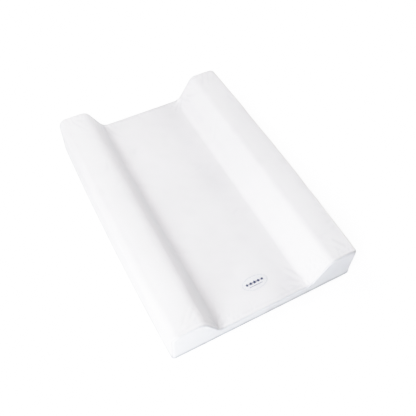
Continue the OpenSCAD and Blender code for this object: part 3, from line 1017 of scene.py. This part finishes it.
def seam_stitches(row, tag, pitch=0.0036):
    """Stitches down in the groove of an end seam."""
    columns = slice(HEM_END, mirror(HEM_END) + 1)
    line = TOP[columns, row]
    arc = run_length(line)
    places = np.arange(pitch / 2, arc[-1] - pitch / 2, pitch)

    def sample(values, where):
        return np.stack([np.interp(where, arc, values[:, k]) for k in range(3)], 1)

    ups = sample(REST_NORMALS[columns, row], places)
    directions = sample(line, places + 4e-4) - sample(line, places - 4e-4)
    stitches("seam_stitches_" + tag, "seam_thread_" + tag, sample(line, places) + ups * 0.00006,
             directions, ups, length=0.0023, radius=0.00026)


seam_stitches(0, "foot")
seam_stitches(ROWS - 1, "head")

# ---------------------------------------------------------------- underside
topstitch_low, topstitch_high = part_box("zip_topstitch_right")
TOPSTITCH_X = (topstitch_low.x + topstitch_high.x) / 2
ZIP_Y = topstitch_high.y                    # half length of the zip chain
POCKET_CEILING = topstitch_high.z           # under face of the pocket's ceiling
POCKET_X, POCKET_Y = 0.0230, ZIP_Y + 0.029  # half sizes of the dished pocket
SLIT_X, SLIT_Y = 0.008, ZIP_Y + 0.010       # half sizes of the slit over the zip
HEM_X = HALF_WIDTH - HEM - 0.0002           # outer edge of the base panels
MIDDLE_X = 0.0001                           # their inner edge


def base_height(x, y):
    """Values that shape the base panels' under face, which is flat on the table, dished over the
    zip and
    turned up at the end seams: |x|, y, the distance from the middle along y, and the pocket's
    masks."""
    x, y = np.abs(x), np.asarray(y)
    from_middle = np.abs(y)
    inside_x = smoothstep((POCKET_X - x) / 0.0042)
    inside_y = smoothstep((POCKET_Y - from_middle) / 0.0060)
    return x, y, from_middle, inside_x, inside_y


def base_surface(x, y):
    """Height of the base panels' under face at x, y."""
    out, y, from_middle, inside_x, inside_y = base_height(x, y)
    z = POCKET_CEILING * inside_x * inside_y
    ripple = 0.00030 * waves(x * 0.6, y, 0.034, seed=71)
    z = z + np.maximum(ripple * bell(out - POCKET_X - 0.004, 0.006) * inside_y, 0)
    # the stitched line along the zip sinks into the folded edge
    beside_zip = smoothstep((ZIP_Y + 0.002 - from_middle) / 0.002)
    z = z + 0.00022 * bell(out - TOPSTITCH_X, 0.0009) * beside_zip * inside_x
    # soft unevenness between the pocket and the hem
    soft = np.maximum(0.00025 * waves(x, y, 0.075, seed=72), 0)
    z = z + (soft * smoothstep((out - POCKET_X - 0.006) / 0.02)
             * smoothstep((HEM_X - 0.004 - out) / 0.02))
    over = np.clip(from_middle - (HALF_LENGTH - BASE_RADIUS), 0,
                   BASE_RADIUS * math.sin(SEAM_ANGLE))
    return z + (BASE_RADIUS - np.sqrt(np.maximum(BASE_RADIUS ** 2 - over * over, 0)))


def base_stations():
    """The grid's distances from the middle line, and its places along y."""
    y_end = HALF_LENGTH - BASE_RADIUS * (1 - math.sin(SEAM_ANGLE))
    pocket_end = np.linspace(POCKET_Y - 0.009, POCKET_Y + 0.003, 9)
    turn_up = np.linspace(HALF_LENGTH - BASE_RADIUS, y_end, 6)
    y_places = np.r_[np.linspace(-y_end, y_end, 240), pocket_end, -pocket_end,
                     turn_up, -turn_up, [SLIT_Y, -SLIT_Y]]
    x_places = np.r_[
        [MIDDLE_X], np.linspace(0.002, SLIT_X, 4),
        np.linspace(SLIT_X, TOPSTITCH_X - 0.0012, 3),
        np.linspace(TOPSTITCH_X - 0.001, TOPSTITCH_X + 0.001, 5),
        np.linspace(TOPSTITCH_X + 0.002, 0.018, 5), np.linspace(0.0188, 0.0235, 9),
        np.linspace(0.0255, 0.040, 6), np.linspace(0.044, HEM_X - 0.006, 44),
        np.linspace(HEM_X - 0.004, HEM_X, 5)]
    return np.unique(np.round(x_places, 6)), np.unique(np.round(y_places, 6))


def delete_loose(work):
    loose = [vert for vert in work.verts if not vert.link_faces]
    bmesh.ops.delete(work, geom=loose, context="VERTS")


def base_panel(side, node):
    x_places, y_places = base_stations()
    x, y = np.meshgrid(x_places * side, y_places, indexing="ij")
    # the folded edge beside the slit is a doubled, rounded lip
    lip = bell(np.abs(x) - SLIT_X - 0.0012, 0.0016) * (np.abs(y) < SLIT_Y)
    points = np.stack([x, y, base_surface(x, y) - 0.00035 * lip], 2)
    rows = len(y_places)
    faces = []
    for i in range(len(x_places) - 1):
        for j in range(rows - 1):
            in_slit = ((x_places[i] + x_places[i + 1]) / 2 < SLIT_X
                       and abs((y_places[j] + y_places[j + 1]) / 2) < SLIT_Y)
            if not in_slit:
                here = i * rows + j
                face = (here, here + rows, here + rows + 1, here + 1)
                faces.append(face if side < 0 else (face[0], face[3], face[2], face[1]))
    obj = new_object(node + "_sheet", points.reshape(-1, 3), faces, VINYL_BASE)
    edit_mesh(obj, delete_loose)
    out = np.abs(mesh_arrays(obj)[0][:, 0])
    # painted shade along the hem fold and along the zip topstitching
    crease = 0.8 * bell(out - HEM_X, 0.0012) + 0.6 * bell(out - TOPSTITCH_X, 0.0007)
    set_crease_shade(obj, np.clip(crease, 0, 1))
    thicken(obj, SHEET * 0.95)
    register(obj, node)


def zip_topstitching(side, tag):
    """Stitches that hold the folded edge to the zip tape, on the under face."""
    y = np.arange(-ZIP_Y + 0.003, ZIP_Y - 0.003, 0.0040)
    x = np.full(len(y), side * TOPSTITCH_X)
    stitches("zip_topstitches_" + tag, "zip_topstitch_" + tag,
             np.stack([x, y, base_surface(x, y) - 0.00008], 1),
             LENGTHWISE, DOWN, length=0.0029, radius=0.00030)


def base_seam_stitching(side, tag):
    """The long bottom seam, sunk between the hem and the base panel."""
    y = np.arange(-HALF_LENGTH + 0.015, HALF_LENGTH - 0.015, 0.0038)
    x = np.full(len(y), side * (HEM_X + 0.0001))
    stitches("base_seam_stitches_" + tag, "base_seam_thread_" + tag,
             np.stack([x, y, np.full(len(y), 0.00055)], 1),
             LENGTHWISE, DOWN, length=0.0024, radius=0.00028)


SIDES = ((-1, "left"), (1, "right"))
for side, tag in SIDES:
    base_panel(side, "base_panel_" + tag)
for side, tag in SIDES:
    zip_topstitching(side, tag)
    base_seam_stitching(side, tag)


# ---------------------------------------------------------------- foam core
def foam_piece(node, seed):
    """A cut foam block: remeshed, softened and slightly uneven, well inside the cover."""
    source = NODES[node]
    obj = bpy.data.objects.new(node + "_block", source.data.copy())
    bpy.context.scene.collection.objects.link(obj)
    obj.matrix_world = source.matrix_world.copy()
    apply_modifier(obj, "remesh", "REMESH", mode="VOXEL", voxel_size=0.0048)
    apply_modifier(obj, "soften", "SMOOTH", factor=0.5, iterations=3)
    points, normals = mesh_arrays(obj)
    x, y, z = points.T
    depth = 0.0004 + 0.00035 * (1 + waves(x + z, y - z, 0.03, seed))
    mesh = obj.data
    mesh.polygons.foreach_set("use_smooth", [True] * len(mesh.polygons))
    mesh.materials.clear()
    mesh.materials.append(FOAM)
    set_points(obj, points - normals * depth[:, None])
    register(obj, node)


foam_piece("foam_base", seed=61)
foam_piece("bolster_foam_left", seed=62)
foam_piece("bolster_foam_right", seed=63)

# ---------------------------------------------------------------- label
LABEL_X, LABEL_Y = (label_low.x + label_high.x) / 2, (label_low.y + label_high.y) / 2
LABEL_HALF_X, LABEL_HALF_Y = (label_high.x - label_low.x) / 2, (label_high.y - label_low.y) / 2
LABEL_THICKNESS = label_high.z - label_low.z
STITCH_INSET = 0.0022                       # running stitch, in from the label's edge
LABEL_SIDES = 144
# rings of the top face, as shares of the label's half sizes
LABEL_RINGS = [0.12, 0.24, 0.36, 0.48, 0.58, 0.67, 0.75, 0.81, 0.85, 0.875, 0.895, 0.915,
               0.94, 0.965, 0.985, 1.0]
UNDER_LIFT = 0.00006                        # the label's underside above the sheet
# rings of the edge and underside: share of the half sizes, height above the sheet
UNDER_RINGS = [(1.004, LABEL_THICKNESS * 0.55 * 0.55), (1.0, LABEL_THICKNESS * 0.55 * 0.15),
               (0.9, UNDER_LIFT), (0.5, UNDER_LIFT)]


def label_top(x, y):
    """Height of the sewn label's top face."""
    radius = math.hypot((x - LABEL_X) / LABEL_HALF_X, (y - LABEL_Y) / LABEL_HALF_Y)
    edge = (1 - radius) * LABEL_HALF_Y
    height = LABEL_THICKNESS * (0.55 + 0.45 * float(smoothstep(edge / 0.0012)))
    height -= 0.00028 * float(bell(edge - STITCH_INSET, 0.0007))
    height += 0.00035 * float(smoothstep((edge - 0.0035) / 0.010))
    height += 0.00010 * float(waves(x, y, 0.021, seed=81))
    return top_height(x, y) + height


def label_patch():
    def ring(share, lift=None):
        """A ring on the label's top, or at a lift above the sheet."""
        points = []
        for k in range(LABEL_SIDES):
            angle = 2 * math.pi * k / LABEL_SIDES
            x = LABEL_X + LABEL_HALF_X * share * math.cos(angle)
            y = LABEL_Y + LABEL_HALF_Y * share * math.sin(angle)
            z = label_top(x, y) if lift is None else top_height(x, y) + lift
            points.append((x, y, z))
        return points

    verts = [(LABEL_X, LABEL_Y, label_top(LABEL_X, LABEL_Y))]
    for share in LABEL_RINGS:
        verts += ring(share)
    for share, lift in UNDER_RINGS:
        verts += ring(share, lift)
    verts.append((LABEL_X, LABEL_Y, top_height(LABEL_X, LABEL_Y) + UNDER_LIFT))
    beside = [(k, (k + 1) % LABEL_SIDES) for k in range(LABEL_SIDES)]
    last = len(verts) - 1
    last_ring = last - LABEL_SIDES
    faces = [(0, 1 + k, 1 + after) for k, after in beside]
    for start in range(1, last_ring, LABEL_SIDES):
        faces += [(start + k, start + k + LABEL_SIDES, start + after + LABEL_SIDES, start + after)
                  for k, after in beside]
    faces += [(last, last_ring + after, last_ring + k) for k, after in beside]
    register(new_object("label_patch_sewn", verts, faces, SATIN), "label_patch")


def label_stitching(count=52):
    angles = (np.arange(count) + 0.5) * 2 * math.pi / count
    half_x, half_y = LABEL_HALF_X - STITCH_INSET, LABEL_HALF_Y - STITCH_INSET
    x, y = LABEL_X + half_x * np.cos(angles), LABEL_Y + half_y * np.sin(angles)
    z = [label_top(*place) + 0.00010 for place in zip(x, y)]
    tangents = np.stack([-half_x * np.sin(angles), half_y * np.cos(angles), 0 * angles], 1)
    pitch = np.linalg.norm(tangents, axis=1) * 2 * math.pi / count
    stitches("label_running_stitch", "label_stitching", np.stack([x, y, z], 1), tangents, UP,
             length=pitch * 0.66, radius=0.00030, material=THREAD_GREY)


# Levels of an embroidered cushion: share of the outline, share of the height
CUSHION_LEVELS = [(1.0, 0.0), (1.0, 0.55), (0.90, 0.9), (0.62, 1.0)]


def raised_shape(outline, height):
    """One embroidered shape: a low cushion over a plan outline."""
    outline = np.array(outline)
    centre = outline.mean(axis=0)
    count = len(outline)

    def point(place, share):
        return place[0], place[1], label_top(*place) + height * share + 0.00002

    verts = [point(centre + (place - centre) * spread, share)
             for spread, share in CUSHION_LEVELS for place in outline]
    top, bottom = len(verts), len(verts) + 1
    verts += [point(centre, 1.04), point(centre, 0.0)]
    beside = [(k, (k + 1) % count) for k in range(count)]
    last_level = top - count
    faces = [(start + k, start + after, start + after + count, start + k + count)
             for start in range(0, last_level, count) for k, after in beside]
    faces += [(last_level + k, last_level + after, top) for k, after in beside]
    faces += [(bottom, after, k) for k, after in beside]
    return verts, faces


def star_outline(x, y, radius, steps=4):
    """A five-pointed star whose inner corners lie at half the radius."""
    tips = []
    for i in range(10):
        reach = radius if i % 2 == 0 else radius / 2
        angle = math.pi * i / 5
        tips.append(np.array([x + reach * math.sin(angle), y + reach * math.cos(angle)]))
    tips.reverse()
    return [tip + (after - tip) * k / steps
            for tip, after in zip(tips, tips[1:] + tips[:1]) for k in range(steps)]


def dot_outline(x, y, radius=0.0009):
    return [(x + radius * math.cos(angle), y + radius * math.sin(angle))
            for angle in np.arange(16) * math.pi / 8]


def dash_outline(x, y, half_straight=0.00035, radius=0.00055):
    points = []
    for side in (1, -1):
        for k in range(7):
            angle = -side * math.pi / 2 + math.pi * k / 6
            points.append((x + side * half_straight + radius * math.cos(angle),
                           y + radius * math.sin(angle)))
    return points


def label_motif():
    """A row of stars with dots between them, and a dashed line below."""
    pitch = 0.010
    shapes = [raised_shape(star_outline(LABEL_X + i * pitch, LABEL_Y + 0.001,
                                        radius=0.0048 - abs(i) * 0.0004), height=0.00045)
              for i in range(-2, 3)]
    shapes += [raised_shape(dot_outline(LABEL_X + i * pitch + pitch / 2, LABEL_Y + 0.0005),
                            height=0.00035) for i in range(-2, 2)]
    shapes += [raised_shape(dash_outline(LABEL_X + i * 0.0026, LABEL_Y - 0.007), height=0.00030)
               for i in range(-6, 7)]
    verts, faces = [], []
    for shape_verts, shape_faces in shapes:
        faces += [tuple(i + len(verts) for i in face) for face in shape_faces]
        verts += shape_verts
    obj = new_object("label_motif_raised", verts, faces, THREAD_NAVY)
    edit_mesh(obj, recalculate_normals)
    register(obj, "label_motif")


label_patch()
label_stitching()
label_motif()

# ---------------------------------------------------------------- zip parts kept from the CAD
# node, material, width of the worn edge
ZIP_PARTS = [
    ("zip_tape_left", TAPE, 0.00012), ("zip_tape_right", TAPE, 0.00012),
    ("zip_teeth_left", NYLON, 0.00018), ("zip_teeth_right", NYLON, 0.00018),
    ("zip_top_stops", METAL, 0.00035), ("zip_bottom_stop", METAL, 0.00035),
    ("zip_slider", METAL, 0.00032), ("zip_pull", METAL, 0.00028)]
for node, material, width in ZIP_PARTS:
    part = NODES[node]
    if part.data.materials:
        for k in range(len(part.data.materials)):
            part.material_slots[k].material = material
    else:
        part.data.materials.append(material)
    bevel = part.modifiers.new("worn_edges", "BEVEL")
    bevel.width = width
    bevel.segments = 2
    bevel.limit_method = "ANGLE"
    bevel.angle_limit = math.radians(40)

# ---------------------------------------------------------------- floor and world
BACKDROP = 0.88                             # brightness of the world and the far backdrop


def floor_material():
    """Pale floor; for the camera only, it is lifted near the pad and turns into an even
    backdrop far away."""
    shader = Shader("floor_pale")
    place = shader.node("NewGeometry").outputs["Position"]
    reach = shader.node("VectorMath", {0: place}, operation="LENGTH").outputs["Value"]
    far = shader.remap(reach, source=(0.95, 1.35), curve="SMOOTHSTEP")
    near = shader.math("DIVIDE", 1.1, reach, clamp=True)
    glow = shader.math("MULTIPLY_ADD", shader.math("POWER", near, 1.5), 1.5 - BACKDROP, BACKDROP)
    camera_ray = shader.node("LightPath").outputs["Is Camera Ray"]
    fade = shader.math("MULTIPLY", far, camera_ray)
    lift = shader.math("MULTIPLY", camera_ray, 0.48)
    lift.node.name = "lift"
    shader.surface({
        "Base Color": (0.95, 0.95, 0.95, 1),
        "Roughness": 0.9,
        "Specular IOR Level": 0.1,
        "Emission Color": (1, 1, 1, 1),
        "Emission Strength": lift})
    even = shader.node("Emission", {"Strength": glow}).outputs[0]
    blend = shader.node("MixShader", {0: fade, 1: shader.principled.outputs[0], 2: even})
    shader.feed(shader.output, {0: blend.outputs[0]})
    return shader.material


FLOOR_HALF, FLOOR_Z = 12, -0.0004
floor_corners = [(i * FLOOR_HALF, j * FLOOR_HALF, FLOOR_Z)
                 for i, j in ((-1, -1), (1, -1), (1, 1), (-1, 1))]
new_object("floor", floor_corners, [(0, 1, 2, 3)], floor_material(), smooth=False)

scene = bpy.context.scene


def build_world():
    """White world at the backdrop's brightness, seen by the camera only."""
    world = bpy.data.worlds.new("studio")
    scene.world = world
    world.use_nodes = True
    tree = world.node_tree
    background = tree.nodes["Background"]
    background.inputs[0].default_value = (1, 1, 1, 1)
    path = tree.nodes.new("ShaderNodeLightPath")
    strength = tree.nodes.new("ShaderNodeMath")
    strength.operation = "MULTIPLY"
    strength.inputs[1].default_value = BACKDROP
    tree.links.new(path.outputs["Is Camera Ray"], strength.inputs[0])
    tree.links.new(strength.outputs[0], background.inputs[1])


build_world()


# ---------------------------------------------------------------- lights and camera
def direction(azimuth, elevation):
    """Unit vector from angles in radians; azimuth 0 is the foot side, -90 degrees the left."""
    return Vector((math.sin(azimuth) * math.cos(elevation),
                   -math.cos(azimuth) * math.cos(elevation), math.sin(elevation)))


NEUTRAL, COOL = (1, 1, 1), (0.972, 0.992, 1.035)
# Soft boxes: azimuth and elevation in degrees, distance, weight, colour
LIGHTS = [
    (-45, 18, 1.9, 0.644, COOL), (-45, 50, 2.0, 0.685, NEUTRAL), (90, 18, 2.2, 0.621, NEUTRAL),
    (135, 18, 2.2, 0.069, NEUTRAL), (135, 50, 2.2, 0.141, NEUTRAL),
    (180, 18, 2.2, 0.314, NEUTRAL), (-135, 50, 2.2, 0.513, NEUTRAL)]
LIGHT_TARGET = Vector((0, 0, 0.05))
LIGHT_SIZE = 1.2
LIGHT_POWER = 40                            # watts for weight 1 at the reference distance
LIGHT_REFERENCE = 2.2
LIGHT_GAIN = 1.01


def soft_box(azimuth, elevation, distance, weight, colour):
    name = "softbox_%d_%d" % (azimuth % 360, elevation)
    light = bpy.data.lights.new(name, "AREA")
    light.shape = "SQUARE"
    light.size = LIGHT_SIZE
    light.energy = LIGHT_POWER * weight * LIGHT_GAIN * (distance / LIGHT_REFERENCE) ** 2
    light.color = colour
    obj = bpy.data.objects.new(name, light)
    away = direction(math.radians(azimuth), math.radians(elevation))
    obj.location = LIGHT_TARGET + away * distance
    obj.rotation_mode = "QUATERNION"
    obj.rotation_quaternion = away.to_track_quat("Z", "Y")
    scene.collection.objects.link(obj)


for light_row in LIGHTS:
    soft_box(*light_row)

CAMERA_ANGLES = (-30.002, 54.298, 2.383)    # azimuth, elevation and roll in degrees
CAMERA_TARGET = (0.01009, -0.04566, 0.040)
CAMERA_DISTANCE = 1.3923
SENSOR_WIDTH, LENS = 36.0, 47.2153846       # millimetres


def build_camera():
    data = bpy.data.cameras.new("camera")
    data.sensor_width = SENSOR_WIDTH
    data.lens = LENS
    data.clip_start, data.clip_end = 0.05, 50
    camera = bpy.data.objects.new("camera", data)
    scene.collection.objects.link(camera)
    scene.camera = camera
    azimuth, elevation, roll = (math.radians(angle) for angle in CAMERA_ANGLES)
    back = direction(azimuth, elevation)
    right = (-back).cross(Vector((0, 0, 1))).normalized()
    up = right.cross(-back)
    rolled_right = right * math.cos(roll) + up * math.sin(roll)
    rolled_up = -right * math.sin(roll) + up * math.cos(roll)
    camera.location = Vector(CAMERA_TARGET) + back * CAMERA_DISTANCE
    camera.rotation_mode = "QUATERNION"
    axes = Matrix((rolled_right, rolled_up, back)).transposed()
    camera.rotation_quaternion = axes.to_quaternion()


build_camera()

# ---------------------------------------------------------------- view transform
# Soft highlight shoulder, so that the white cover keeps its form: light in, light out
WHITE_LEVEL = 1.45
SHOULDER = [(0.0, 0.0), (0.42, 0.42), (0.78, 0.78), (0.86, 0.846), (0.95, 0.902),
            (1.05, 0.944), (1.2, 0.98), (WHITE_LEVEL, 1.0)]


def set_view():
    view = scene.view_settings
    view.view_transform = "Standard"
    view.look = "None"
    view.exposure = 0.0
    view.gamma = 1.0
    view.use_curve_mapping = True
    mapping = view.curve_mapping
    mapping.white_level = (WHITE_LEVEL, WHITE_LEVEL, WHITE_LEVEL)
    mapping.extend = "HORIZONTAL"
    curve = mapping.curves[3]
    for light_in, light_out in SHOULDER[1:-1]:
        curve.points.new(light_in / WHITE_LEVEL, light_out)
    for point, (light_in, light_out) in zip(curve.points, SHOULDER):
        point.location = (light_in / WHITE_LEVEL, light_out)
        point.handle_type = "VECTOR"
    mapping.update()


set_view()
